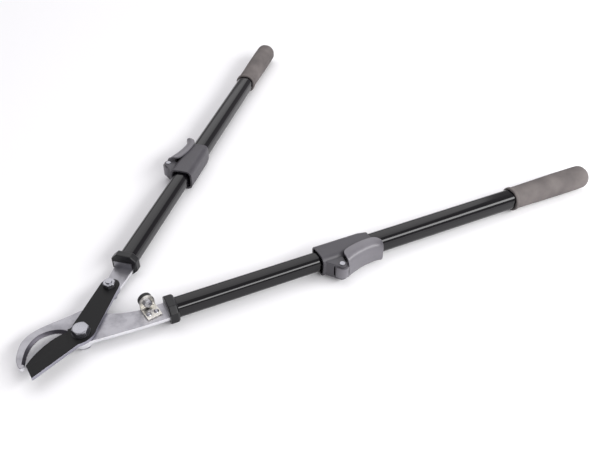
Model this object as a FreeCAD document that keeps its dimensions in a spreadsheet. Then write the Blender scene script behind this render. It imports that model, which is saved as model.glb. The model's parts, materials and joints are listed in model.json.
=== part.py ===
import FreeCAD, Part
import math
import os
from FreeCAD import Matrix, Placement, Rotation, Vector

# Telescopic bypass loppers lying flat with the jaws half open.
# +Z is up and the tool rests on z = 0.  +Y runs from the jaws to the grips, along the line that
# halves the angle between the handles.  The right handle (+X) carries the hooked counter blade,
# the left handle (-X) carries the cutting blade.  All lengths are in millimetres.

doc = FreeCAD.newDocument("bypass_loppers")

# ---------------------------------------------------------------- driving dimensions
SIZES = {
    # how the tool lies
    "half_opening": 25,
    "axis_height": 17.5,
    "axis_offset": 5,
    "pivot_across": 2.85,
    "pivot_along": -313.35,
    # head plates, bottom to top: arm plate, hook plate, cutting blade
    "arm_bottom": 7.9,
    "arm_thick": 4.5,
    "hook_bottom": 12.5,
    "hook_thick": 5,
    "blade_bottom": 17.6,
    "blade_thick": 4.5,
    "hook_bevel": 3.4,
    "blade_bevel_depth": 3.8,
    "boss_radius": 15,
    # pivot bolt and tail bolt
    "pivot_radius": 6,
    "pivot_flats": 18,
    "pivot_head": 7,
    "pivot_nut_height": 7,
    "washer_radius": 11,
    "washer_thick": 1,
    "tail_radius": 4,
    "tail_flats": 14,
    "tail_head": 5.3,
    "tail_nut_height": 6.5,
    "tail_stud": 1.5,
    "tail_reach": 79.2,
    "tail_offset": 3.2,
    "tail_end_radius": 12.5,
    "bore_clearance": 0.1,
    # closing bumper on the hook plate
    "bumper_across": 24.4,
    "bumper_along": 78.8,
    "bumper_height": 27,
    "bumper_turn": 15,
    "bumper_radius": 9,
    "bumper_thick": 7,
    "bracket_thick": 2.5,
    "bracket_width": 19,
    "bracket_foot": 20,
    "screw_radius": 3,
    "screw_flats": 10,
    "screw_head": 4,
    "rivet_radius": 2,
    "rivet_row": 0.62,
    "rivet_spread": 5,
    "rivet_head_radius": 3.4,
    "rivet_head": 1.8,
    # handles, measured along each handle from the front of its collar
    "right_reach": 101.5,
    "left_reach": 123,
    "collar_length": 12,
    "collar_width": 35,
    "collar_height": 30,
    "collar_corner": 7.5,
    "tube_seat": 4,
    "tang_length": 40,
    "block_top": 21.6,
    "block_width": 25,
    "spigot_length": 48,
    "spigot_pin_at": 8,
    "spigot_pin_radius": 2,
    "inner_size": 24,
    "inner_corner": 9.5,
    "inner_end": 312,
    "outer_size": 27.2,
    "outer_corner": 11,
    "tube_wall": 1.5,
    "slide_gap": 0.1,
    "bush_length": 18,
    "plug_length": 14,
    "plug_cap": 2,
    "bush_cap": 4,
    # lever clamp
    "right_extension": 4,
    "left_extension": -4,
    "sleeve_start": 201,
    "sleeve_length": 78,
    "sleeve_taper": 12,
    "sleeve_width": 34,
    "sleeve_height": 32,
    "sleeve_corner": 9,
    "mouth_wall": 2.8,
    "mouth_depth": 10,
    "seat_depth": 36,
    "ear_span": 23,
    "ear_gap": 16,
    "ear_radius": 6,
    "pin_at": 21,
    "pin_offset": 28.5,
    "pin_radius": 2.5,
    "pin_head_radius": 3.6,
    "cam_radius": 8.8,
    "cam_offset": 0.4,
    "lever_length": 64,
    "lever_start": 7.4,
    "lever_hub_width": 15.4,
    "lever_top": 18.8,
    "lever_bottom": 13.5,
    "lever_shell": 2.4,
    "pad_length": 14,
    "pad_width": 11.4,
    "pad_gap": 0.15,
    # grips
    "grip_start": 514,
    "grip_length": 142,
    "grip_radius": 17.5,
    "grip_lip": 5,
    "grip_floor": 7,
}

sheet = doc.addObject("Spreadsheet::Sheet", "sizes")
for row, (alias, number) in enumerate(SIZES.items(), start=1):
    sheet.set(f"A{row}", alias)
    sheet.set(f"B{row}", str(number))
    sheet.setAlias(f"B{row}", alias)
doc.recompute()


def size(alias):
    """The value that a cell of the sheet holds."""
    return float(sheet.get(alias))


def bind(feature, **sizes):
    """Tie properties of a feature to expressions on the sheet."""
    for name, expression in sizes.items():
        for alias in sorted(SIZES, key=len, reverse=True):
            expression = expression.replace("<" + alias + ">", "sizes." + alias)
        feature.setExpression(name, expression)
    return feature


# ---------------------------------------------------------------- places and directions
RIGHT = 1
LEFT = -1
SIDES = {RIGHT: "right", LEFT: "left"}
LEAN = math.radians(size("half_opening"))
PIVOT = Vector(size("pivot_across"), size("pivot_along"), 0)
AXIS_Z = size("axis_height")


def along(side):
    """Unit vector from the pivot towards a handle's grip."""
    return Vector(side * math.sin(LEAN), math.cos(LEAN), 0)


def outward(side):
    """Unit vector that points sideways out of the tool, square to a handle."""
    return Vector(side * math.cos(LEAN), -math.sin(LEAN), 0)


def head_point(side, reach, out):
    """A point of the head in the pivot's plan, by reach along a handle and distance outwards."""
    return along(side) * reach + outward(side) * out


def reach(side):
    """Distance from the pivot to the front of the collar."""
    return size(SIDES[side] + "_reach")


def over_pivot(z):
    """Placement of a flat part whose sketch is drawn about the pivot."""
    return Placement(PIVOT + Vector(0, 0, z), Rotation())


def frame_of(x_axis, y_axis, z_axis, origin):
    """Placement with the given axes and origin."""
    matrix = Matrix(
        x_axis.x, y_axis.x, z_axis.x, origin.x,
        x_axis.y, y_axis.y, z_axis.y, origin.y,
        x_axis.z, y_axis.z, z_axis.z, origin.z,
        0, 0, 0, 1)
    return Placement(matrix)


def extension(side):
    """How much further out than the middle setting a handle's sliding half is clamped."""
    return size(SIDES[side] + "_extension")


def on_handle(side, distance=0.0):
    """Placement on a handle's axis: X outwards, Z towards the grip, origin past the collar's front."""
    origin = PIVOT + head_point(side, reach(side) + distance, size("axis_offset"))
    origin.z = AXIS_Z
    x_axis = outward(side)
    z_axis = along(side)
    return frame_of(x_axis, z_axis.cross(x_axis), z_axis, origin)


# ---------------------------------------------------------------- drawing helpers
def line(first, second):
    return Part.LineSegment(first, second)


def arc(first, middle, last):
    return Part.Arc(first, middle, last)


def spline(points):
    curve = Part.BSplineCurve()
    curve.interpolate(points)
    return curve


def circle(centre, radius):
    return Part.Circle(centre, Vector(0, 0, 1), radius)


def chain(points):
    """Straight lines through the points in turn."""
    return [line(a, b) for a, b in zip(points, points[1:])]


def rounded_rectangle(width, height, corner):
    """Curves of a centred rectangle with round corners."""
    half_w = width / 2
    half_h = height / 2
    curves = []
    for turn in range(4):
        across, up = (half_w, half_h) if turn % 2 == 0 else (half_h, half_w)
        spin = Rotation(Vector(0, 0, 1), 90 * turn)
        diagonal = corner * (1 - math.sqrt(0.5))
        start = spin.multVec(Vector(across, up - corner, 0))
        middle = spin.multVec(Vector(across - diagonal, up - diagonal, 0))
        end = spin.multVec(Vector(across - corner, up, 0))
        across_next, up_next = up, across
        following = Rotation(Vector(0, 0, 1), 90 * (turn + 1))
        curves.append(arc(start, middle, end))
        curves.append(line(end, following.multVec(Vector(across_next, up_next - corner, 0))))
    return [c for c in curves if c.length() > 1e-6]


def new_body(label):
    body = doc.addObject("PartDesign::Body", label)
    body.Label = label
    return body


def sketch_on(body, role, curves, lift=0.0):
    """A sketch on one of the body's own origin planes, moved along its normal by lift."""
    sketch = body.newObject("Sketcher::SketchObject", body.Name + "_sketch")
    plane = next(f for f in body.Origin.OriginFeatures if f.Role == role)
    sketch.AttachmentSupport = [(plane, "")]
    sketch.MapMode = "FlatFace"
    sketch.AttachmentOffset = Placement(Vector(0, 0, lift), Rotation())
    for curve in curves:
        sketch.addGeometry(curve, False)
    return sketch


def pad(body, sketch, length, symmetric=False):
    """Pad a sketch by a length given as an expression on the sheet."""
    feature = body.newObject("PartDesign::Pad", body.Name + "_pad")
    feature.Profile = sketch
    feature.SideType = "Symmetric" if symmetric else "One side"
    bind(feature, Length=length)
    doc.recompute()
    return feature


def pocket(body, sketch, length, symmetric=False):
    """Cut a sketch out of the body, on the side its normal points to, and check that it cut."""
    before = body.Shape.Volume
    feature = body.newObject("PartDesign::Pocket", body.Name + "_pocket")
    feature.Profile = sketch
    feature.SideType = "Symmetric" if symmetric else "One side"
    feature.Reversed = True
    bind(feature, Length=length)
    doc.recompute()
    if not body.Shape.Volume < before - 1e-3:
        raise RuntimeError(f"{body.Label}: a pocket cut nothing")
    return feature


def revolve(body, curves):
    """Turn a closed profile, drawn on XZ, about the body's Z axis."""
    sketch = sketch_on(body, "XZ_Plane", curves)
    feature = body.newObject("PartDesign::Revolution", body.Name + "_turn")
    feature.Profile = sketch
    feature.ReferenceAxis = (sketch, ["V_Axis"])
    feature.Angle = 360
    doc.recompute()
    return feature


def dress(body, kind, chosen, **sizes):
    """Chamfer or fillet the edges of the body for which chosen(edge) is true."""
    names = [f"Edge{i}" for i, edge in enumerate(body.Shape.Edges, start=1) if chosen(edge)]
    if not names:
        raise RuntimeError(f"{body.Label}: no edge to dress")
    base = body.Tip
    feature = body.newObject("PartDesign::" + kind, body.Name + "_" + kind.lower())
    feature.Base = (base, names)
    bind(feature, **sizes)
    doc.recompute()
    return feature


def middle_of(edge):
    return edge.valueAt((edge.FirstParameter + edge.LastParameter) / 2)


def solid_part(label, shape, placement):
    """A sub-part whose shape is worked out with Part's own functions."""
    feature = doc.addObject("Part::Feature", label)
    feature.Label = label
    feature.Shape = shape
    feature.Placement = placement
    return feature


def face_of(curves):
    return Part.Face(Part.Wire(Part.__sortEdges__([c.toShape() for c in curves])))


def extruded(curves, start, length):
    """Solid from a closed outline in XY, from height start over a length along Z."""
    solid = face_of(curves).extrude(Vector(0, 0, length))
    solid.translate(Vector(0, 0, start))
    return solid


# ---------------------------------------------------------------- fasteners from primitives
def cylinder(name, radius, height, z=0.0):
    feature = doc.addObject("Part::Cylinder", name)
    bind(feature, Radius=radius, Height=height)
    feature.Placement = Placement(Vector(0, 0, z), Rotation())
    return feature


def hexagon(name, flats, height, z=0.0):
    """Hexagonal prism, given its width across flats, with a crowned upper face."""
    prism = doc.addObject("Part::Prism", name + "_prism")
    prism.Polygon = 6
    bind(prism, Circumradius=f"{flats} / 2 / cos(30)", Height=height)
    prism.Placement = Placement(Vector(0, 0, z), Rotation())
    crown = doc.addObject("Part::Cone", name + "_crown")
    bind(crown, Radius1=f"{flats} / 2 + {height} * 1.7", Radius2=f"{flats} / 2 * 0.94", Height=height)
    crown.Placement = Placement(Vector(0, 0, z), Rotation())
    common = doc.addObject("Part::MultiCommon", name)
    common.Shapes = [prism, crown]
    return common


def fused(label, shapes):
    feature = doc.addObject("Part::MultiFuse", label)
    feature.Shapes = shapes
    feature.Label = label
    return feature


def cut(label, base, tool):
    feature = doc.addObject("Part::Cut", label)
    feature.Base = base
    feature.Tool = tool
    feature.Label = label
    return feature


# ---------------------------------------------------------------- head: the three flat parts
def plate_end(side, inner, outer, tang):
    """Rear end of a plate in its collar: a shoulder, then a narrow tang on the handle's axis."""
    shoulder = reach(side) + size("tube_seat") - 0.5
    tip = reach(side) + size("tang_length")
    axis = size("axis_offset")
    corners = ((shoulder, inner), (shoulder, axis - tang / 2), (tip, axis - tang / 2),
               (tip, axis + tang / 2), (shoulder, axis + tang / 2), (shoulder, outer))
    return [head_point(side, r, out) for r, out in corners]


def tang_hole(side):
    """Hole of the upright pin that holds a plate's tang in its handle."""
    centre = head_point(side, reach(side) + size("spigot_pin_at"), size("axis_offset"))
    return circle(centre, size("spigot_pin_radius"))


def hook_plate():
    """Counter blade: one plate from the hook, over the pivot, to the right handle."""
    tip_outer = Vector(-14, -75.6, 0)
    tip_inner = Vector(-12.4, -69.6, 0)
    back = [tip_outer, Vector(-26.4, -71, 0), Vector(-38, -61, 0), Vector(-45.6, -50, 0),
            Vector(-48, -38, 0), Vector(-46.6, -25, 0), Vector(-40, -2, 0), Vector(-34, 20, 0)]
    neck = [back[-1], Vector(-25, 32, 0), Vector(-7, 39.3, 0), Vector(7, 50.8, 0),
            head_point(RIGHT, 74, -9.6)]
    end = plate_end(RIGHT, -9.5, 18, 16)
    heel = [end[-1], head_point(RIGHT, 65, 17.4), head_point(RIGHT, 30, 15.6), Vector(14.8, -2, 0)]
    boss = size("boss_radius")
    boss_low = Vector(boss * math.sin(math.radians(10)), -boss * math.cos(math.radians(10)), 0)
    boss_left = Vector(-boss * math.sin(math.radians(42)), -boss * math.cos(math.radians(42)), 0)
    throat = [boss_left, Vector(-17, -10.4, 0), Vector(-24.6, -14.1, 0), Vector(-31.8, -22.6, 0),
              Vector(-35.4, -34.2, 0), Vector(-32.9, -46, 0), Vector(-25, -58, 0), tip_inner]
    outline = [spline(back), spline(neck), line(neck[-1], end[0])]
    outline += chain(end)
    outline += [spline(heel), arc(heel[-1], boss_low, boss_left), spline(throat)]
    outline += [arc(tip_inner, Vector(-10.4, -73.4, 0), tip_outer)]
    bore = size("pivot_radius") + size("bore_clearance")
    holes = [circle(Vector(0, 0, 0), bore), tang_hole(RIGHT)]
    holes += [circle(point, size("rivet_radius")) for point in rivet_points()]
    body = new_body("hook_plate")
    pad(body, sketch_on(body, "XY_Plane", outline + holes), "<hook_thick>")
    top = size("hook_thick")

    def on_throat(edge):
        point = middle_of(edge)
        return abs(point.z - top) < 1e-3 and (point - Vector(-35.4, -34.2, top)).Length < 8

    dress(body, "Chamfer", on_throat, Size="<hook_bevel>")
    body.Placement = over_pivot(size("hook_bottom"))
    return body


def tail_point():
    """Centre of the tail bolt in the pivot's plan."""
    return head_point(LEFT, size("tail_reach"), size("tail_offset"))


def cutting_blade():
    """Black coated blade whose tail bar runs along the left handle to the tail bolt."""
    edge = [Vector(-9.4, -69.2, 0), Vector(-14.6, -58.2, 0), Vector(-18.3, -42.8, 0),
            Vector(-19.6, -28.6, 0), Vector(-18.4, -16.4, 0), Vector(-15.6, -6.4, 0)]
    bar_left = head_point(LEFT, 8, 15.2)
    end_radius = size("tail_end_radius")
    tail = tail_point()
    end_left = tail + outward(LEFT) * end_radius
    end_far = tail + along(LEFT) * end_radius
    end_right = tail - outward(LEFT) * end_radius
    bar_right = head_point(LEFT, 9, -15)
    heel = Vector(13, -13, 0)
    back_tip = Vector(13.5, -75.9, 0)
    outline = [spline(edge), spline([edge[-1], Vector(-15.8, -0.5, 0), bar_left])]
    outline += [line(bar_left, end_left), arc(end_left, end_far, end_right)]
    outline += [line(end_right, bar_right), arc(bar_right, Vector(15.9, -1, 0), heel)]
    outline += [line(heel, back_tip), line(back_tip, edge[0])]
    holes = [circle(Vector(0, 0, 0), size("pivot_radius")), circle(tail, size("tail_radius"))]
    blank = new_body("blade_blank")
    pad(blank, sketch_on(blank, "XY_Plane", outline + holes), "<blade_thick>")
    ground = doc.addObject("Part::Feature", "blade_bevel")
    ground.Shape = bevel_shape()
    blade = cut("cutting_blade", blank, ground)
    blade.Placement = over_pivot(size("blade_bottom"))
    return blade


def bevel_shape():
    """Metal ground off the blade's top, from a ridge down to the thin cutting edge."""
    edge = [(-7.6, -76), (-14.6, -58.2), (-18.3, -42.8), (-19.6, -28.6), (-18.4, -16.4), (-16.2, -7.5)]
    ridge = [(-1.5, -79), (-1.5, -62), (1.2, -48), (3, -37), (4, -27), (4, -20)]
    top = size("blade_thick")
    beyond = 2.5
    sections = []
    for edge_point, ridge_point in zip(edge, ridge):
        outer = Vector(*edge_point, 0)
        inner = Vector(*ridge_point, top)
        across = Vector(outer.x - inner.x, outer.y - inner.y, 0)
        width = across.Length
        fall = size("blade_bevel_depth") * (1 + beyond / width)
        low = Vector(inner.x, inner.y, top - fall) + across * (1 + beyond / width)
        high = Vector(low.x, low.y, top + 2)
        lid = Vector(inner.x, inner.y, top + 2)
        sections.append(Part.makePolygon([inner, low, high, lid, inner]))
    return Part.makeLoft(sections, True, False)


def arm_plate():
    """Lower plate of the left handle, which the pivot bolt and the tail bolt join to the blade."""
    boss = 14
    end = plate_end(LEFT, -6.5, 20, 10)
    inner = [end[0], head_point(LEFT, 85, -5.2), head_point(LEFT, 45, -5.4),
             head_point(LEFT, 22, -9.6), head_point(LEFT, 4, -13.4)]
    outer = [head_point(LEFT, 0, boss), head_point(LEFT, 60, 15), head_point(LEFT, 100, 17.2), end[-1]]
    outline = [spline(inner), arc(inner[-1], head_point(LEFT, -boss, 0), outer[0]), spline(outer)]
    outline += chain(end)
    holes = [circle(Vector(0, 0, 0), size("pivot_radius")), tang_hole(LEFT)]
    holes += [circle(tail_point(), size("tail_radius"))]
    body = new_body("left_arm_plate")
    pad(body, sketch_on(body, "XY_Plane", outline + holes), "<arm_thick>")
    body.Placement = over_pivot(size("arm_bottom"))
    return body


# ---------------------------------------------------------------- head: bolts
def pivot_fasteners():
    """Pivot bolt with its washer above the blade and its nut under the arm plate."""
    washer_z = size("blade_bottom") + size("blade_thick")
    head_z = washer_z + size("washer_thick")
    shank = cylinder("pivot_shank", "<pivot_radius>", str(head_z))
    head = hexagon("pivot_head", "<pivot_flats>", "<pivot_head>", head_z)
    bolt = fused("pivot_bolt", [shank, head])
    bolt.Placement = over_pivot(0)
    disc = cylinder("washer_disc", "<washer_radius>", "<washer_thick>")
    hole = cylinder("washer_hole", "<pivot_radius>", "<washer_thick>")
    washer = cut("pivot_washer", disc, hole)
    washer.Placement = over_pivot(washer_z)
    block = hexagon("pivot_nut_block", "<pivot_flats>", "<pivot_nut_height>")
    thread = cylinder("pivot_nut_thread", "<pivot_radius>", "<pivot_nut_height>")
    nut = cut("pivot_nut", block, thread)
    nut_top = PIVOT + Vector(0, 0, size("arm_bottom"))
    nut.Placement = Placement(nut_top, Rotation(Vector(1, 0, 0), 180))
    return [bolt, washer, nut]


def tail_fasteners():
    """Tail bolt, nut and spacer that hold the blade's bar above the arm plate."""
    nut_z = size("blade_bottom") + size("blade_thick")
    stud_top = nut_z + size("tail_nut_height") + size("tail_stud")
    place = Placement(PIVOT + tail_point(), Rotation(Vector(0, 0, 1), 12))
    shank_length = str(stud_top - size("arm_bottom"))
    shank = cylinder("tail_shank", "<tail_radius>", shank_length, size("arm_bottom"))
    head = hexagon("tail_head", "<tail_flats>", "<tail_head>")
    head.Placement = Placement(Vector(0, 0, size("arm_bottom")), Rotation(Vector(1, 0, 0), 180))
    bolt = fused("tail_bolt", [shank, head])
    bolt.Placement = place
    block = hexagon("tail_nut_block", "<tail_flats>", "<tail_nut_height>", nut_z)
    thread = cylinder("tail_nut_thread", "<tail_radius>", str(stud_top))
    nut = cut("tail_nut", block, thread)
    nut.Placement = place
    spacer_z = size("arm_bottom") + size("arm_thick")
    gap = str(size("blade_bottom") - spacer_z)
    disc = cylinder("spacer_disc", "<tail_end_radius> - 0.5", gap, spacer_z)
    hole = cylinder("spacer_hole", "<tail_radius>", gap, spacer_z)
    spacer = cut("tail_spacer", disc, hole)
    spacer.Placement = place
    return [bolt, nut, spacer]


# ---------------------------------------------------------------- head: closing bumper
def bumper_direction():
    """Unit vector that the rubber faces, towards the blade's bar."""
    turn = math.radians(size("bumper_turn"))
    return Vector(-math.cos(turn), math.sin(turn), 0)


def bumper_frame(height):
    """Placement at the rubber's back face: Z along the rubber, Y up."""
    origin = PIVOT + Vector(size("bumper_across"), size("bumper_along"), height)
    z_axis = bumper_direction()
    y_axis = Vector(0, 0, 1)
    return frame_of(y_axis.cross(z_axis), y_axis, z_axis, origin)


def rivet_points():
    """Centres of the two rivets of the bumper bracket, in the pivot's plan."""
    back = Vector(size("bumper_across"), size("bumper_along"), 0)
    direction = bumper_direction()
    square = Vector(-direction.y, direction.x, 0)
    setback = size("bracket_thick") + size("bracket_foot") * size("rivet_row")
    centre = back - direction * setback
    return [centre + square * size("rivet_spread"), centre - square * size("rivet_spread")]


def bumper():
    """Rubber stop on a bent bracket that is riveted to the hook plate."""
    thick = size("bracket_thick")
    half = size("bracket_width") / 2
    foot = size("bumper_height") - size("hook_bottom") - size("hook_thick")
    bracket = new_body("bumper_bracket")
    left_foot = Vector(-half, -foot, 0)
    right_foot = Vector(half, -foot, 0)
    left_top = Vector(-half, 0, 0)
    right_top = Vector(half, 0, 0)
    profile = chain([left_top, left_foot, right_foot, right_top])
    profile += [arc(right_top, Vector(0, half, 0), left_top)]
    profile += [circle(Vector(0, 0, 0), size("screw_radius"))]
    pad(bracket, sketch_on(bracket, "XY_Plane", profile, -thick), "<bracket_thick>")
    foot_end = -thick - size("bracket_foot")
    base = [Vector(-half, -thick, 0), Vector(half, -thick, 0),
            Vector(half, foot_end, 0), Vector(-half, foot_end, 0)]
    rivet_row = -thick - size("bracket_foot") * size("rivet_row")
    rivet_holes = [circle(Vector(x, rivet_row, 0), size("rivet_radius"))
                   for x in (-size("rivet_spread"), size("rivet_spread"))]
    foot_sketch = sketch_on(bracket, "XZ_Plane", chain(base + base[:1]) + rivet_holes, foot)
    foot_pad = pad(bracket, foot_sketch, "<bracket_thick>")
    foot_pad.Reversed = True
    doc.recompute()
    bracket.Placement = bumper_frame(size("bumper_height"))

    rubber = new_body("bumper_pad")
    radius = size("bumper_radius")
    length = size("bumper_thick")
    nose = 2.0
    core = size("screw_radius")
    corner = Vector(radius - nose * 0.3, length - nose * 0.3, 0)
    half_section = chain([Vector(core, 0, 0), Vector(radius, 0, 0), Vector(radius, length - nose, 0)])
    half_section += [arc(Vector(radius, length - nose, 0), corner, Vector(radius - nose, length, 0))]
    half_section += chain([Vector(radius - nose, length, 0), Vector(0, length, 0), Vector(0, 4, 0),
                           Vector(core, 4, 0), Vector(core, 0, 0)])
    revolve(rubber, half_section)
    rubber.Placement = bumper_frame(size("bumper_height"))

    head = hexagon("screw_hexagon", "<screw_flats>", "<screw_head>")
    shank = cylinder("screw_shank", "<screw_radius>", str(thick + 4), -thick - 4)
    screw = fused("bumper_screw", [head, shank])
    face = bumper_frame(size("bumper_height"))
    back = face.Base - bumper_direction() * thick
    screw.Placement = Placement(back, face.Rotation.multiply(Rotation(Vector(1, 0, 0), 180)))

    rivets = [rivet(point) for point in rivet_points()]
    return [bracket, rubber, screw, solid_part("bumper_rivets", Part.makeCompound(rivets), over_pivot(0))]


def rivet(point):
    """Round head above the bracket's foot and a shank down to the hook plate's underside."""
    bottom = size("hook_bottom")
    top = bottom + size("hook_thick") + size("bracket_thick")
    shank = Part.makeCylinder(size("rivet_radius"), top - bottom + 0.2, point + Vector(0, 0, bottom))
    radius = size("rivet_head_radius")
    height = size("rivet_head")
    ball = (radius * radius + height * height) / (2 * height)
    dome = Part.makeSphere(ball, point + Vector(0, 0, top + height - ball))
    slab = Part.makeCylinder(radius + 1, height + 1, point + Vector(0, 0, top))
    return shank.fuse(dome.common(slab)).removeSplitter()


# ---------------------------------------------------------------- handles
def tube_curves(across, corner):
    return rounded_rectangle(across, across, corner)


def octagon(width, height, corner):
    """Corners of a rectangle with its corners cut off, going round once."""
    w = width / 2
    t = height / 2
    points = [Vector(w, -t + corner, 0), Vector(w, t - corner, 0), Vector(w - corner, t, 0),
              Vector(-w + corner, t, 0), Vector(-w, t - corner, 0), Vector(-w, -t + corner, 0),
              Vector(-w + corner, -t, 0), Vector(w - corner, -t, 0)]
    return chain(points + points[:1])


def tang_block(side, plate):
    """Zinc block that fills the tube round the plate's tang and shows above the plate."""
    up = -side
    seat = size("tube_seat")
    inner = size("inner_size") - 2 * size("tube_wall")
    corner = size("inner_corner") - size("tube_wall")
    spigot = extruded(tube_curves(inner, corner), seat - 0.2, size("spigot_length"))
    low = plate.Placement.Base.z - AXIS_Z
    top = size("block_top") - AXIS_Z
    face = Part.makeBox(size("block_width"), top - low, seat + 0.6)
    across = 2.0 if side == LEFT else -0.6
    start = low if up > 0 else -top
    face.translate(Vector(across - size("block_width") / 2, start, -0.8))
    block = spigot.fuse(face).removeSplitter()
    place = on_handle(side)
    hollow = plate.Shape.copy()
    hollow.transformShape(place.inverse().toMatrix())
    pin = spigot_pin_shape(inner)
    return solid_part(SIDES[side] + "_tang_block", block.cut(hollow).cut(pin), place)


def spigot_pin_shape(length):
    """Upright pin through tube, block and tang, hidden by the collar, in the handle's frame."""
    start = Vector(0, -length / 2, size("spigot_pin_at"))
    return Part.makeCylinder(size("spigot_pin_radius"), length, start, Vector(0, 1, 0))


def collar(side, plate, block):
    """Black moulded collar with cut-off corners round the front of the inner tube."""
    length = size("collar_length")
    outline = octagon(size("collar_width"), size("collar_height"), size("collar_corner"))
    shape = extruded(outline, 0, length)
    rear = [e for e in shape.Edges if abs(middle_of(e).z - length) < 1e-6]
    shape = shape.makeChamfer(2.4, rear)
    front = [e for e in shape.Edges if abs(middle_of(e).z) < 1e-6]
    shape = shape.makeChamfer(0.8, front)
    bore = extruded(tube_curves(size("inner_size"), size("inner_corner")), size("tube_seat"), length)
    place = on_handle(side)
    shape = shape.cut(bore)
    for other in (plate, block):
        tool = other.Shape.copy()
        tool.transformShape(place.inverse().toMatrix())
        shape = shape.cut(tool)
    return solid_part(SIDES[side] + "_collar", shape, place)


def tube(label, side, start, across, corner, length):
    """Rounded square tube from start along a handle, its length an expression on the sheet."""
    wall = size("tube_wall")
    body = new_body(label)
    curves = tube_curves(size(across), size(corner))
    curves += tube_curves(size(across) - 2 * wall, size(corner) - wall)
    pad(body, sketch_on(body, "XY_Plane", curves), length)
    body.Placement = on_handle(side, start)
    return body


def inner_tube(side):
    """Fixed tube of the handle, cross-pinned to the tang block."""
    body = tube(SIDES[side] + "_inner_tube", side, size("tube_seat"), "inner_size", "inner_corner",
                "<inner_end> - <tube_seat>")
    height = size("spigot_pin_at") - size("tube_seat")
    hole = [circle(Vector(0, height, 0), size("spigot_pin_radius"))]
    pocket(body, sketch_on(body, "XZ_Plane", hole), "<inner_size> * 2", symmetric=True)
    return body


def outer_tube(side):
    """Sliding tube of the handle, from the clamp sleeve into the grip."""
    start = size("sleeve_start") + size("seat_depth") + extension(side)
    return tube(SIDES[side] + "_outer_tube", side, start, "outer_size", "outer_corner",
                "<grip_start> + <grip_length> - <grip_floor> - <plug_cap> - <sleeve_start> - <seat_depth>")


def plugged(label, side, end, tube_size, tube_corner, length, cap):
    """Plug in a tube's bore whose cap covers the tube's end, which lies at end along a handle."""
    wall = size("tube_wall")
    bore = tube_curves(size(tube_size) - 2 * wall, size(tube_corner) - wall)
    body = new_body(label)
    pad(body, sketch_on(body, "XY_Plane", bore), length)
    cap_sketch = sketch_on(body, "XY_Plane", tube_curves(size(tube_size), size(tube_corner)))
    cap_pad = pad(body, cap_sketch, cap)
    cap_pad.Reversed = True
    doc.recompute()
    backwards = Placement(Vector(0, 0, 0), Rotation(Vector(0, 1, 0), 180))
    body.Placement = on_handle(side, end).multiply(backwards)
    return body


def guide_bush(side):
    """Bush on the inner tube's hidden end, which keeps the two tubes in line."""
    return plugged(SIDES[side] + "_guide_bush", side, size("inner_end"), "inner_size", "inner_corner",
                   "<bush_length>", "<bush_cap>")


def end_plug(side):
    """Plug that closes the outer tube inside the grip."""
    end = size("grip_start") + size("grip_length") - size("grip_floor") - size("plug_cap")
    end += extension(side)
    return plugged(SIDES[side] + "_end_plug", side, end, "outer_size", "outer_corner",
                   "<plug_length>", "<plug_cap>")


def grip(side):
    """Soft moulded grip with a lip at its mouth and a domed end."""
    length = size("grip_length")
    full = size("grip_radius")
    lip = size("grip_lip")
    waist = full - 1.3
    dome = 13.0
    body = new_body(SIDES[side] + "_grip")
    mouth = [Vector(0, 0, 0), Vector(full - 1, 0, 0), Vector(full, 1, 0), Vector(full, lip - 1, 0),
             Vector(waist, lip, 0)]
    swell = spline([Vector(waist, lip, 0), Vector(waist + 0.5, length * 0.3, 0),
                    Vector(full - 0.2, length * 0.65, 0), Vector(full - 1, length - dome, 0)])
    end = spline([Vector(full - 1, length - dome, 0), Vector(full - 3.4, length - 6, 0),
                  Vector(full - 9, length - 1.4, 0), Vector(0, length, 0)])
    profile = chain(mouth) + [swell, end, line(Vector(0, length, 0), Vector(0, 0, 0))]
    revolve(body, profile)
    bore = tube_curves(size("outer_size"), size("outer_corner"))
    pocket(body, sketch_on(body, "XY_Plane", bore), "<grip_length> - <grip_floor>")
    body.Placement = on_handle(side, size("grip_start") + extension(side))
    return body


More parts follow.
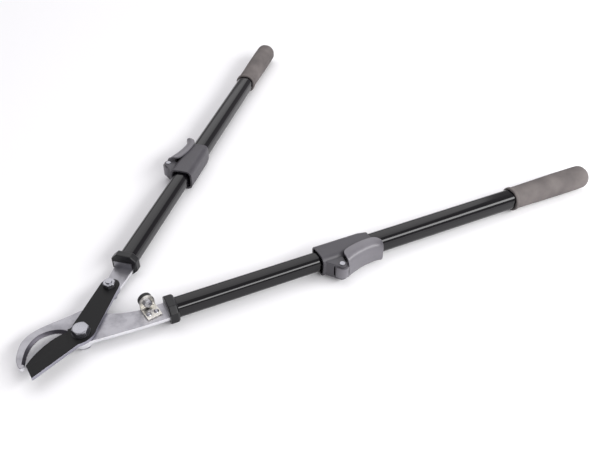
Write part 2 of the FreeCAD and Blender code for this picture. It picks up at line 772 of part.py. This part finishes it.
# ---------------------------------------------------------------- lever clamps
def clamp_sleeve(side):
    """Moulded sleeve on the outer tube's end, with two ears for the lever and a window for the pad."""
    body = new_body(SIDES[side] + "_clamp_sleeve")
    outer = rounded_rectangle(size("sleeve_width"), size("sleeve_height"), size("sleeve_corner"))
    pad(body, sketch_on(body, "XY_Plane", outer), "<sleeve_length> - <sleeve_taper>")
    shoulder = size("sleeve_length") - size("sleeve_taper")
    rear_end = pad(body, sketch_on(body, "XY_Plane", outer, shoulder), "<sleeve_taper>")
    rear_end.TaperAngle = -9
    doc.recompute()
    pin_x = size("pin_offset")
    pin_z = size("pin_at")
    radius = size("ear_radius")
    root = size("sleeve_width") / 2 - 4
    lean = math.radians(62)
    front = Vector(pin_x + radius * math.cos(lean), pin_z - radius * math.sin(lean), 0)
    rear = Vector(pin_x, pin_z + radius, 0)
    front_root = Vector(root, 1, 0)
    rear_root = Vector(root, pin_z + radius, 0)
    ear = [line(front_root, front), arc(front, Vector(pin_x + radius, pin_z, 0), rear),
           line(rear, rear_root), line(rear_root, front_root)]
    pad(body, sketch_on(body, "XZ_Plane", ear), "<ear_span>", symmetric=True)
    skin = size("sleeve_width") / 2 + 0.6
    far = pin_x + radius + 5
    wall_end = pin_x - 3.5
    wall_back = pin_z - size("cam_radius") - size("cam_offset") - 0.8
    slot = chain([Vector(skin, wall_back, 0), Vector(wall_end, wall_back, 0), Vector(wall_end, -5, 0),
                  Vector(far, -5, 0), Vector(far, 60, 0), Vector(skin, 60, 0), Vector(skin, wall_back, 0)])
    pocket(body, sketch_on(body, "XZ_Plane", slot), "<ear_gap>", symmetric=True)
    pin = [circle(Vector(pin_x, pin_z, 0), size("pin_radius"))]
    pocket(body, sketch_on(body, "XZ_Plane", pin), "<ear_span> * 2", symmetric=True)
    wall = size("mouth_wall")
    mouth = rounded_rectangle(size("sleeve_width") - 2 * wall, size("sleeve_height") - 2 * wall,
                              size("sleeve_corner") - wall)
    pocket(body, sketch_on(body, "XY_Plane", mouth), "<mouth_depth>")
    gap = size("slide_gap")
    slide = tube_curves(size("inner_size") + 2 * gap, size("inner_corner") + gap)
    pocket(body, sketch_on(body, "XY_Plane", slide), "<sleeve_length>")
    seat = tube_curves(size("outer_size"), size("outer_corner"))
    pocket(body, sketch_on(body, "XY_Plane", seat, size("seat_depth")), "<sleeve_length>")
    half = size("pad_length") / 2 + size("pad_gap")
    window = chain([Vector(8, pin_z - half, 0), Vector(24, pin_z - half, 0),
                    Vector(24, pin_z + half, 0), Vector(8, pin_z + half, 0), Vector(8, pin_z - half, 0)])
    pocket(body, sketch_on(body, "XZ_Plane", window), "<pad_width> + 2 * <pad_gap>", symmetric=True)
    body.Placement = on_handle(side, size("sleeve_start") + extension(side))
    return body


def lever_frame(side):
    """Placement on the lever's pin: X outwards, Z towards the grip."""
    place = on_handle(side, size("sleeve_start") + size("pin_at") + extension(side))
    return place.multiply(Placement(Vector(size("pin_offset"), 0, 0), Rotation()))


def clamp_pad(side):
    """Pressure block between the cam and the inner tube."""
    inner = size("inner_size") / 2 + size("pad_gap") - size("pin_offset")
    outer = -size("cam_radius") - size("cam_offset") - 2 * size("pad_gap")
    block = doc.addObject("Part::Box", SIDES[side] + "_clamp_pad")
    block.Label = SIDES[side] + "_clamp_pad"
    bind(block, Width="<pad_width>", Height="<pad_length>")
    block.Length = outer - inner
    corner = Vector(inner, -size("pad_width") / 2, -size("pad_length") / 2)
    block.Placement = lever_frame(side).multiply(Placement(corner, Rotation()))
    return block


def turned_up(shape):
    """Turn a solid drawn in XY so that its Y becomes the handle's Z and its Z runs across."""
    shape.rotate(Vector(0, 0, 0), Vector(1, 0, 0), 90)
    return shape


def lever_skin(t):
    """Distance outwards from the pin of the lever's outer face, at a distance t past the pin."""
    knots = ((0, 8.4), (size("lever_start"), 7.2), (16, 2.6), (26, -1.6), (38, -4.6), (50, -6.0),
             (58, -5.8), (size("lever_length"), -5.0))
    curve = spline([Vector(at, out, 0) for at, out in knots])
    return curve.value(curve.parameter(Vector(t, 0, 0))).y


def lever_section(t, lip):
    """Closed section of the paddle at t: a shell that covers the sleeve's outer side and its top
    corner, and whose upper lip lies at a distance lip outwards from the pin."""
    out = lever_skin(t)
    top = size("lever_top")
    low = -size("lever_bottom")
    shell = size("lever_shell")

    def skin(depth):
        round_top = min(13.0, out - lip - 2) - depth
        round_low = 6.0 - depth
        half = math.sqrt(0.5)
        side = out - depth
        level = top - depth
        points = [(lip, level), ((lip + side - round_top) / 2, level), (side - round_top, level)]
        points += [(side - round_top * (1 - half), top - depth - round_top * (1 - half))]
        points += [(side, top - depth - round_top), (side + 0.3, 1.5), (side, low + depth + round_low)]
        points += [(side - round_low * (1 - half), low + depth + round_low * (1 - half))]
        points += [(side - round_low, low + depth)]
        return [Vector(x, y, t) for x, y in points]

    outer = skin(0)
    inner = skin(shell)
    edges = [spline(outer), line(outer[-1], inner[-1]), spline(inner[::-1]), line(inner[0], outer[0])]
    return Part.Wire([edge.toShape() for edge in edges])


def cam_lever(side):
    """Eccentric cam, neck and a paddle that wraps the sleeve's outer side, moulded in one piece."""
    stations = ((size("lever_start"), -9.0), (12, -15.5), (20, -18.5), (34, -21.5), (48, -22.5),
                (57, -21.5), (62, -17.5), (size("lever_length"), -13.0))
    paddle = Part.makeLoft([lever_section(t, lip) for t, lip in stations], True, False)
    cam = size("cam_radius")
    hub_x = -size("cam_offset")
    hub = size("lever_hub_width") / 2
    reach_in = 17.0
    skin = [Vector(lever_skin(t) - 0.3, t, 0) for t in (0, 4, 8, 12, reach_in)]
    skin[0] = Vector(hub_x + cam, 0, 0)
    neck_view = [spline(skin)]
    neck_view += chain([skin[-1], Vector(-3.2, reach_in, 0), Vector(-6.5, 9, 0), Vector(hub_x, 8, 0),
                        Vector(hub_x, 0, 0), skin[0]])
    neck = turned_up(extruded(neck_view, -hub, 2 * hub))
    disc = turned_up(extruded([circle(Vector(hub_x, 0, 0), cam)], -hub, 2 * hub))
    lever = paddle.fuse(neck.fuse(disc))
    bore = size("pin_radius") + size("bore_clearance")
    lever = lever.cut(turned_up(extruded([circle(Vector(0, 0, 0), bore)], -hub - 1, 2 * hub + 2)))
    if side == RIGHT:
        lever = lever.mirror(Vector(0, 0, 0), Vector(0, 1, 0))
    return solid_part(SIDES[side] + "_cam_lever", lever.removeSplitter(), lever_frame(side))


def lever_pin(side):
    """Headed pin that stands in the ears of the sleeve."""
    name = SIDES[side] + "_lever_pin"
    shank = cylinder(name + "_shank", "<pin_radius>", "<ear_span> + 0.4")
    head = cylinder(name + "_head", "<pin_head_radius>", "1", size("ear_span"))
    pin = fused(name, [shank, head])
    base = lever_frame(side).Base - Vector(0, 0, size("ear_span") / 2)
    pin.Placement = Placement(base, Rotation())
    return pin


def handle(side, plate):
    """All pieces of one handle, from the tang block to the grip."""
    block = tang_block(side, plate)
    pin_shape = spigot_pin_shape(size("inner_size") - 0.1)
    pin = solid_part(SIDES[side] + "_spigot_pin", pin_shape, on_handle(side))
    pieces = [block, collar(side, plate, block), pin, inner_tube(side), guide_bush(side)]
    pieces += [outer_tube(side), end_plug(side), grip(side), clamp_sleeve(side)]
    pieces += [clamp_pad(side), cam_lever(side), lever_pin(side)]
    return pieces


# ---------------------------------------------------------------- assembly and files
counter_blade = hook_plate()
arm = arm_plate()
parts = [counter_blade, arm, cutting_blade()]
parts += pivot_fasteners() + tail_fasteners() + bumper()
doc.recompute()
parts += handle(RIGHT, counter_blade) + handle(LEFT, arm)
doc.recompute()

for thing in doc.Objects:
    if "Invalid" in thing.State or "Error" in thing.State:
        raise RuntimeError(f"{thing.Name} did not compute: {thing.State}")
for part in parts:
    if part.Shape.isNull() or not part.Shape.isValid():
        raise RuntimeError(f"{part.Label} has no valid shape")

os.makedirs("parts", exist_ok=True)
for part in parts:
    part.Shape.exportStep(os.path.join("parts", part.Label + ".step"))
box = FreeCAD.BoundBox()
for part in parts:
    box.add(part.Shape.BoundBox)
print("parts", len(parts), "box", box)
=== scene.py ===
import json
import math

import bmesh
import bpy
import numpy as np
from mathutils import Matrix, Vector


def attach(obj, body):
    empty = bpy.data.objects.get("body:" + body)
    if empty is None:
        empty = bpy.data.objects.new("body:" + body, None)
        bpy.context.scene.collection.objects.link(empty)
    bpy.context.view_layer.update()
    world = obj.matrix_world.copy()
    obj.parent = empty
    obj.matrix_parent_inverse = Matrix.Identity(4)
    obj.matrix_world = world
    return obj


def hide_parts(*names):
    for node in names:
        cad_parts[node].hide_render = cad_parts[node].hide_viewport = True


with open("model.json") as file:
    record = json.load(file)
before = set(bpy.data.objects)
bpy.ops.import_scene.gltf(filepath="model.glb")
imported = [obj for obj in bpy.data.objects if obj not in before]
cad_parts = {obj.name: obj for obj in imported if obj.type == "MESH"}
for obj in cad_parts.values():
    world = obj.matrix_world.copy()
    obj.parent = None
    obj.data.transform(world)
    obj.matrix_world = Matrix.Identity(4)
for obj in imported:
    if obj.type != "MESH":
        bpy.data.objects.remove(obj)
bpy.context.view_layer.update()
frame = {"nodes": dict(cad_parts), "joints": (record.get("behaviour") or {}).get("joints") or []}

# ---------------------------------------------------------------- camera, floor and light
# A plain white paper roll under a large soft box, with a long box low on the right that draws the
# bright line along the gloss tubes.  The camera looks down on the jaws from the right.
joints = {joint["name"]: joint for joint in frame["joints"]}
pivot = np.array(joints["jaw"]["pos_m"]) * (1, 1, 0)

CAMERA_FROM_PIVOT = (0.5463, -0.2601, 0.6357)
CAMERA_LOOKS = (-0.4917, 0.5952, -0.6357)
camera_data = bpy.data.cameras.new("camera")
camera_data.lens = 41.8
camera_data.sensor_width = 36.0
camera = bpy.data.objects.new("camera", camera_data)
camera.location = pivot + CAMERA_FROM_PIVOT
camera.rotation_euler = Vector(CAMERA_LOOKS).to_track_quat("-Z", "Y").to_euler()
bpy.context.scene.collection.objects.link(camera)
bpy.context.scene.camera = camera
bpy.context.scene.view_settings.view_transform = "Standard"


def linear(hex_colour):
    """Linear RGBA of an sRGB hex colour."""
    channels = [int(hex_colour[i:i + 2], 16) / 255 for i in (0, 2, 4)]
    return [c / 12.92 if c <= 0.04045 else ((c + 0.055) / 1.055) ** 2.4 for c in channels] + [1.0]


def soft_box(name, place, aim, width, depth, watts):
    """Rectangular area light at a place, facing aim."""
    light = bpy.data.lights.new(name, "AREA")
    light.shape = "RECTANGLE"
    light.size = width
    light.size_y = depth
    light.energy = watts
    holder = bpy.data.objects.new(name, light)
    holder.location = place
    holder.rotation_euler = (Vector(aim) - Vector(place)).to_track_quat("-Z", "Y").to_euler()
    bpy.context.scene.collection.objects.link(holder)


soft_box("top_box", place=(-1.2, 0.9, 2.3), aim=(0, 0, 0), width=3.4, depth=3.4, watts=40)
soft_box("strip_box", place=(1.7, 0.35, 1.1), aim=(0.15, 0.05, 0), width=3.2, depth=0.62, watts=52)
world = bpy.data.worlds.new("studio")
world.use_nodes = True
background = world.node_tree.nodes["Background"]
background.inputs["Color"].default_value = linear("f6f3f8")
background.inputs["Strength"].default_value = 0.5
bpy.context.scene.world = world


def add(tree, kind, values=(), links=(), **settings):
    """Add a node, set its properties and socket values, and link (socket, node, output) inputs."""
    node = tree.nodes.new(kind)
    for name, value in settings.items():
        setattr(node, name, value)
    for socket, value in values:
        node.inputs[socket].default_value = value
    for socket, source, output in links:
        tree.links.new(source.outputs[output], node.inputs[socket])
    return node


def new_material(name):
    """Empty node material with its surface shader, ready for its own nodes."""
    material = bpy.data.materials.new(name)
    material.use_nodes = True
    tree = material.node_tree
    return material, tree, tree.nodes["Principled BSDF"]


FLOOR_HALF = 6.0
floor_mesh = bpy.data.meshes.new("floor")
floor_corners = [(-FLOOR_HALF, -FLOOR_HALF, 0), (FLOOR_HALF, -FLOOR_HALF, 0),
                 (FLOOR_HALF, FLOOR_HALF, 0), (-FLOOR_HALF, FLOOR_HALF, 0)]
floor_mesh.from_pydata(floor_corners, [], [(0, 1, 2, 3)])
floor = bpy.data.objects.new("floor", floor_mesh)
bpy.context.scene.collection.objects.link(floor)
paper, _, paper_shader = new_material("white_paper_roll")
paper_shader.inputs["Base Color"].default_value = linear("f6f6f7")
paper_shader.inputs["Roughness"].default_value = 0.9
floor_mesh.materials.append(paper)

# ---------------------------------------------------------------- flat plates of the head
# Hook plate, arm plate and cutting blade are stamped from 5 mm spring steel and ground, and the
# blade is then coated black.  Their faces are mottled, the plates' upright edges (and the arm
# plate's sloping ones) get a lighter steel as painted highlight, the hook's sloping bevel gets a
# darker steel as painted shade, and tumbling has rounded every edge a little.
MM = 0.001
SAME_POINT = 1e-6
FLAT_TURN = 0.6
ROUNDED_TURN = 28.0
FLAT_RISE = 0.97
UPRIGHT_RISE = 0.25


def softened(node, body, edge, materials, clamp=False):
    """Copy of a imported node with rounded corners.

    Doubled points are merged, flat neighbours are joined into one face, and every edge that turns
    by more than 28 degrees is rounded to the given width in millimetres. The first material
    covers faces that lie flat, the second upright ones and the third sloping ones. With clamp
    the rounding narrows where it would overrun a small face."""
    shape = bmesh.new()
    shape.from_mesh(frame["nodes"][node].data)
    bmesh.ops.remove_doubles(shape, verts=shape.verts, dist=SAME_POINT)
    bmesh.ops.dissolve_limit(shape, angle_limit=math.radians(FLAT_TURN), verts=shape.verts,
                             edges=shape.edges)
    mesh = bpy.data.meshes.new(node + "_body")
    for face in shape.faces:
        rise = abs(face.normal.z)
        kind = 0 if rise > FLAT_RISE else 1 if rise < UPRIGHT_RISE else 2
        face.material_index = min(kind, len(materials) - 1)
    shape.to_mesh(mesh)
    shape.free()
    piece = bpy.data.objects.new(mesh.name, mesh)
    bpy.context.scene.collection.objects.link(piece)
    for material in materials:
        mesh.materials.append(material)
    mesh.shade_smooth()
    mesh.set_sharp_from_angle(angle=math.radians(ROUNDED_TURN))
    rounding = piece.modifiers.new("rounding", "BEVEL")
    rounding.width = edge * MM
    rounding.segments = 3
    rounding.limit_method = "ANGLE"
    rounding.angle_limit = math.radians(ROUNDED_TURN)
    rounding.use_clamp_overlap = clamp
    rounding.harden_normals = True
    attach(piece, body)
    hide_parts(node)


METAL_CLOUDS = 45.0
COATING_CLOUDS = 30.0


def metal(name, colour, rough, rough_spread, grain_mm, bump_mm, tint):
    """Bare metal: colour clouded towards tint over 22 mm, with a fine grain in gloss and bump."""
    material, tree, shader = new_material(name)
    place = add(tree, "ShaderNodeTexCoord")
    grain = add(tree, "ShaderNodeTexNoise", [("Scale", 1 / (grain_mm * MM)), ("Detail", 4.0)],
                [("Vector", place, "Object")])
    cloud = add(tree, "ShaderNodeTexNoise",
                [("Scale", METAL_CLOUDS), ("Detail", 5.0), ("Roughness", 0.6)],
                [("Vector", place, "Object")])
    mix = add(tree, "ShaderNodeMix", [], [], data_type="RGBA")
    mix.inputs["A"].default_value = linear(colour)
    mix.inputs["B"].default_value = linear(tint)
    share = add(tree, "ShaderNodeMapRange",
                [("From Min", 0.42), ("From Max", 0.68), ("To Max", 0.6)],
                [("Value", cloud, "Fac")])
    tree.links.new(share.outputs["Result"], mix.inputs["Factor"])
    tree.links.new(mix.outputs["Result"], shader.inputs["Base Color"])
    rough_map = add(tree, "ShaderNodeMapRange",
                    [("From Min", 0.3), ("From Max", 0.7), ("To Min", rough - rough_spread),
                     ("To Max", rough + rough_spread)], [("Value", grain, "Fac")])
    tree.links.new(rough_map.outputs["Result"], shader.inputs["Roughness"])
    bump = add(tree, "ShaderNodeBump", [("Strength", 0.5), ("Distance", bump_mm * MM)],
               [("Height", grain, "Fac")])
    tree.links.new(bump.outputs["Normal"], shader.inputs["Normal"])
    shader.inputs["Metallic"].default_value = 1.0
    return material


def coated(name, colour, rough, grain_mm, bump_mm, worn, specular=0.5):
    """Paint or moulded plastic: colour clouded towards worn over 33 mm, and a fine pebbled skin."""
    material, tree, shader = new_material(name)
    place = add(tree, "ShaderNodeTexCoord")
    grain = add(tree, "ShaderNodeTexNoise", [("Scale", 1 / (grain_mm * MM)), ("Detail", 2.0)],
                [("Vector", place, "Object")])
    cloud = add(tree, "ShaderNodeTexNoise", [("Scale", COATING_CLOUDS), ("Detail", 4.0)],
                [("Vector", place, "Object")])
    mix = add(tree, "ShaderNodeMix", [], [], data_type="RGBA")
    mix.inputs["A"].default_value = linear(colour)
    mix.inputs["B"].default_value = linear(worn)
    share = add(tree, "ShaderNodeMapRange", [("From Min", 0.35), ("From Max", 0.75)],
                [("Value", cloud, "Fac")])
    tree.links.new(share.outputs["Result"], mix.inputs["Factor"])
    tree.links.new(mix.outputs["Result"], shader.inputs["Base Color"])
    rough_map = add(tree, "ShaderNodeMapRange",
                    [("From Min", 0.3), ("From Max", 0.7), ("To Min", rough * 0.9),
                     ("To Max", rough * 1.1)], [("Value", cloud, "Fac")])
    tree.links.new(rough_map.outputs["Result"], shader.inputs["Roughness"])
    bump = add(tree, "ShaderNodeBump", [("Strength", 0.6), ("Distance", bump_mm * MM)],
               [("Height", grain, "Fac")])
    tree.links.new(bump.outputs["Normal"], shader.inputs["Normal"])
    shader.inputs["Specular IOR Level"].default_value = specular
    return material


ground_steel = metal("ground_spring_steel", "a3a2a7", 0.4, 0.07, 0.5, 0.02, tint="66656a")
black_coating = coated("black_nonstick_coating", "0f0f10", 0.5, 0.35, 0.02, worn="171718",
                       specular=0.2)
# Lighter steel for the plates' upright edges: painted highlight for the light that these sides
# catch.
lit_edge_steel = metal("plate_edge_painted_highlight", "e6e6e9", 0.42, 0.06, 0.6, 0.02, tint="c4c4c9")
# Darker steel for the hook's sloping bevel: painted shade for the bevel facing away from the light.
shaded_bevel_steel = metal("bevel_painted_shade", "4c4a50", 0.4, 0.05, 0.5, 0.02, tint="3a383d")
softened("hook_plate", "hook_side", 0.7, [ground_steel, lit_edge_steel, shaded_bevel_steel])
softened("left_arm_plate", "blade_side", 0.6,
         [ground_steel, lit_edge_steel, lit_edge_steel])
blade_edge = metal("thinly_coated_edge", "a3a2ad", 0.42, 0.06, 0.6, 0.02, tint="7f7e88")
softened("cutting_blade", "blade_side", 0.3,
         [black_coating, blade_edge, black_coating])

# ---------------------------------------------------------------- bolts, nuts and washers
# The pivot bolt and tail bolt join the blade to the plates.  All are cold-headed steel hexagons
# with bright zinc plating; the pivot's washer is blackened.
zinc = metal("bright_zinc_plate", "a4a4aa", 0.3, 0.05, 0.8, 0.01, tint="8f9095")
dark_steel = metal("blackened_steel", "4a4a4c", 0.38, 0.05, 0.6, 0.01, tint="38383a")
for node in ("pivot_bolt", "pivot_nut", "tail_bolt", "tail_nut", "tail_spacer"):
    softened(node, "blade_side", 0.3, [zinc])
softened("pivot_washer", "blade_side", 0.2, [dark_steel])

# ---------------------------------------------------------------- closing bumper
# A rubber disc that stops the blade's bar, screwed to a bracket folded from nickel-plated sheet,
# which two rivets hold on the hook plate.
nickel = metal("nickel_plated_bracket", "c2c0bb", 0.3, 0.06, 0.8, 0.01, tint="a09d96")
rubber = coated("black_rubber", "1b1b1b", 0.62, 0.5, 0.03, worn="242424")
softened("bumper_bracket", "hook_side", 0.35, [nickel])
softened("bumper_pad", "hook_side", 0.3, [rubber])
softened("bumper_screw", "hook_side", 0.25, [zinc])
softened("bumper_rivets", "hook_side", 0.15, [zinc])

# ---------------------------------------------------------------- handles: collars and tubes
# Each handle is a rounded square steel tube with gloss black enamel that slides in a wider one.
# A cast zinc block holds the plate's tang in the tube's mouth, under a moulded black collar.
# Pins are zinc plated; bushes, plugs and clamp shoes are black nylon.
SIDES = {"right": "hook_side", "left": "blade_side"}
PIN_OFFSET = 28.5
SHARP_TURN = 40.0
up = np.array([0.0, 0.0, 1.0])


def span(node, origin, direction):
    """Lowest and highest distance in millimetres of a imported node's points along a direction."""
    mesh = frame["nodes"][node].data
    flat = np.empty(3 * len(mesh.vertices), np.float32)
    mesh.vertices.foreach_get("co", flat)
    reach = (flat.reshape(-1, 3) - origin) @ direction / MM
    return reach.min(), reach.max()


def handle_frame(side):
    """Origin at the collar's front on the handle's axis, the outward and the grip direction."""
    towards_grip = np.array(joints[side + "_slide"]["axis"])
    outward = np.cross(towards_grip, up) * (1 if side == "right" else -1)
    axis_point = np.array(joints[side + "_lever_hinge"]["pos_m"]) - outward * PIN_OFFSET * MM
    front = span(side + "_collar", axis_point, towards_grip)[0]
    return axis_point + towards_grip * front * MM, outward, towards_grip


def reach_of(side, part):
    """Where a part of a handle starts and ends, in millimetres from the collar's front."""
    origin, _, towards_grip = handle_frame(side)
    return span(side + part, origin, towards_grip)


def on_handle(side, points):
    """Points given as (outward, up, towards the grip) in millimetres, moved to the tool's frame."""
    origin, outward, towards_grip = handle_frame(side)
    axes = np.stack([outward, up, towards_grip])
    return origin + (points * MM) @ axes


def rounded_square(across, corner, count):
    """Outline of a square with round corners, evenly spaced by angle round each corner."""
    turn = np.linspace(0, 2 * np.pi, count, endpoint=False) + np.pi / count
    quadrant = np.floor(turn / (np.pi / 2))
    centre = (quadrant + 0.5) * np.pi / 2
    reach = (across / 2 - corner) * math.sqrt(2)
    return np.stack([reach * np.cos(centre) + corner * np.cos(turn),
                     reach * np.sin(centre) + corner * np.sin(turn)], -1)


def woven(name, grid, flip, wrap=False):
    """Mesh over a grid of points: rows run along the piece, columns run round it.

    Neighbouring rows and columns are joined by four-sided faces. The columns always close on
    themselves, wrap closes the rows too, and otherwise each end row is covered by a fan."""
    rows, columns = grid.shape[:2]
    points = grid.reshape(-1, 3)
    index = np.arange(rows * columns).reshape(rows, columns)
    after = np.roll(index, -1, axis=1)
    if wrap:
        lower, upper = index, np.roll(index, -1, axis=0)
        lower_after, upper_after = after, np.roll(after, -1, axis=0)
    else:
        lower, upper = index[:-1], index[1:]
        lower_after, upper_after = after[:-1], after[1:]
    faces = np.stack([lower, lower_after, upper_after, upper], -1).reshape(-1, 4)
    triangles = np.zeros((0, 3), int)
    if not wrap:
        ends = np.array([grid[0].mean(0), grid[-1].mean(0)])
        first, last = len(points), len(points) + 1
        points = np.concatenate([points, ends])
        triangles = np.concatenate([
            np.stack([after[0], index[0], np.full(columns, first)], -1),
            np.stack([index[-1], after[-1], np.full(columns, last)], -1)])
    if flip:
        faces = faces[:, ::-1]
        triangles = triangles[:, ::-1]
    mesh = bpy.data.meshes.new(name)
    mesh.from_pydata(points.tolist(), [], faces.tolist() + triangles.tolist())
    mesh.shade_smooth()
    mesh.set_sharp_from_angle(angle=math.radians(SHARP_TURN))
    piece = bpy.data.objects.new(name, mesh)
    bpy.context.scene.collection.objects.link(piece)
    return piece


def finished(piece, body, node, material):
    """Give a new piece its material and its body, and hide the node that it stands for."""
    piece.data.materials.append(material)
    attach(piece, body)
    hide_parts(node)


gloss_black = coated("gloss_black_tube_enamel", "060508", 0.1, 1.2, 0.003, worn="09070a",
                     specular=0.4)
moulded_black = coated("black_moulded_nylon", "101012", 0.36, 0.4, 0.02, worn="17171a",
                       specular=0.35)
cast_zinc = metal("cast_zinc_block", "a0a0a4", 0.4, 0.06, 0.7, 0.03, tint="98989c")
TUBE_WALL = 1.5
LIP = 0.4
OUTLINE_POINTS = 96
INNER_TUBE = {"across": 24, "corner": 9.5}
OUTER_TUBE = {"across": 27.2, "corner": 11}


def tube_shape(side, start, end, across, corner):
    """Rounded square tube. Each row is the outline set in by some depth at some height: up the
    outside, over the round end lip, down the inside and back over the other lip."""
    path = [(0, start + LIP), (0, end - LIP), (LIP, end), (TUBE_WALL - LIP, end),
            (TUBE_WALL, end - LIP), (TUBE_WALL, start + LIP), (TUBE_WALL - LIP, start),
            (LIP, start)]
    rows = []
    for inset, height in path:
        outline = rounded_square(across - 2 * inset, corner - inset, OUTLINE_POINTS)
        rows.append(np.column_stack([outline, np.full(len(outline), height)]))
    return on_handle(side, np.stack(rows))


for side, fixed_body in SIDES.items():
    flip = side == "right"
    softened(side + "_tang_block", fixed_body, 0.5, [cast_zinc], clamp=True)
    softened(side + "_collar", fixed_body, 0.7, [moulded_black])
    for part, body, section in (("_inner_tube", fixed_body, INNER_TUBE),
                                ("_outer_tube", side + "_slider", OUTER_TUBE)):
        shape = tube_shape(side, *reach_of(side, part), **section)
        tube = woven(side + part + "_shell", shape, flip, wrap=True)
        finished(tube, body, side + part, gloss_black)
    for hidden in ("_spigot_pin", "_lever_pin"):
        frame["nodes"][side + hidden].data.materials.clear()
        frame["nodes"][side + hidden].data.materials.append(zinc)
    for hidden in ("_guide_bush", "_end_plug", "_clamp_pad"):
        frame["nodes"][side + hidden].data.materials.clear()
        frame["nodes"][side + hidden].data.materials.append(moulded_black)

# ---------------------------------------------------------------- lever clamps
# A sleeve on the front of each outer tube carries a lever whose cam presses a shoe on the inner
# tube.  Both are moulded in the same grey glass-filled nylon with a fine satin texture; the lever's
# lighter grey is painted light for the light on its outward faces.
sleeve_grey = coated("dark_grey_moulded_nylon", "3e3c41", 0.44, 0.45, 0.03, worn="48464b")
# The lever's lighter grey is painted light: the sleeve's nylon, lightened for the light falling on
# its outward faces.
lit_lever_grey = coated("lever_nylon_painted_light", "6a686d", 0.36, 0.45, 0.02, worn="747277")
for side in SIDES:
    softened(side + "_clamp_sleeve", side + "_slider", 0.8, [sleeve_grey],
             clamp=True)
    softened(side + "_cam_lever", side + "_lever", 0.7, [lit_lever_grey], clamp=True)

# ---------------------------------------------------------------- grips
# Closed sleeves of soft grey foam rubber, pushed over the outer tubes' ends, with a lip in front
# and a domed back.
grip_rubber = coated("soft_grey_foam_rubber", "5b5655", 0.78, 0.6, 0.06, worn="76706e",
                     specular=0.3)
GRIP_MOUTH = [(16.2, 0.0), (17.0, 0.3), (17.5, 1.2), (17.5, 3.6), (17.2, 4.5), (16.5, 5.0),
              (16.2, 5.6)]
NECK_RADIUS = 16.2
SWELL = 1.1
NECK_END = 6
DOME_HEIGHT = 13
GRIP_FLOOR = 7


def grip_shape(side):
    """Grip. Rows go from the floor of the bore out to the mouth, over the lip and along the
    swelling outside to the dome. The bore has the tube's section and the outside is round."""
    start, end = reach_of(side, "_grip")
    length = end - start
    shoulder = length - DOME_HEIGHT
    square = rounded_square(**OUTER_TUBE, count=OUTLINE_POINTS)
    angle = np.arctan2(square[:, 1], square[:, 0])
    ring = np.stack([np.cos(angle), np.sin(angle)], -1)
    rows = [square * 0.02, square, square, square * 1.005, square * 1.03]
    heights = [length - GRIP_FLOOR, length - GRIP_FLOOR, 0.8, 0.3, 0.0]
    mouth = np.array(GRIP_MOUTH)
    along = np.linspace(0, 1, 40)
    body_radius = NECK_RADIUS + SWELL * np.sin(along * np.pi * 0.62) ** 1.6
    body_height = NECK_END + along * (shoulder - NECK_END)
    dome = np.linspace(0, np.pi / 2, 16)[1:-1]
    dome_radius = body_radius[-1] * np.cos(dome) ** 0.8
    dome_height = shoulder + DOME_HEIGHT * np.sin(dome)
    radii = np.concatenate([mouth[:, 0], body_radius, dome_radius, [0.3]])
    tall = np.concatenate([mouth[:, 1], body_height, dome_height, [length]])
    rows += [ring * radius for radius in radii]
    heights = np.array(heights + list(tall)) + start
    grid = [np.column_stack([row, np.full(len(row), height)]) for row, height in zip(rows, heights)]
    return on_handle(side, np.stack(grid))


for side in SIDES:
    piece = woven(side + "_grip_sleeve", grip_shape(side), side == "right")
    finished(piece, side + "_slider", side + "_grip", grip_rubber)
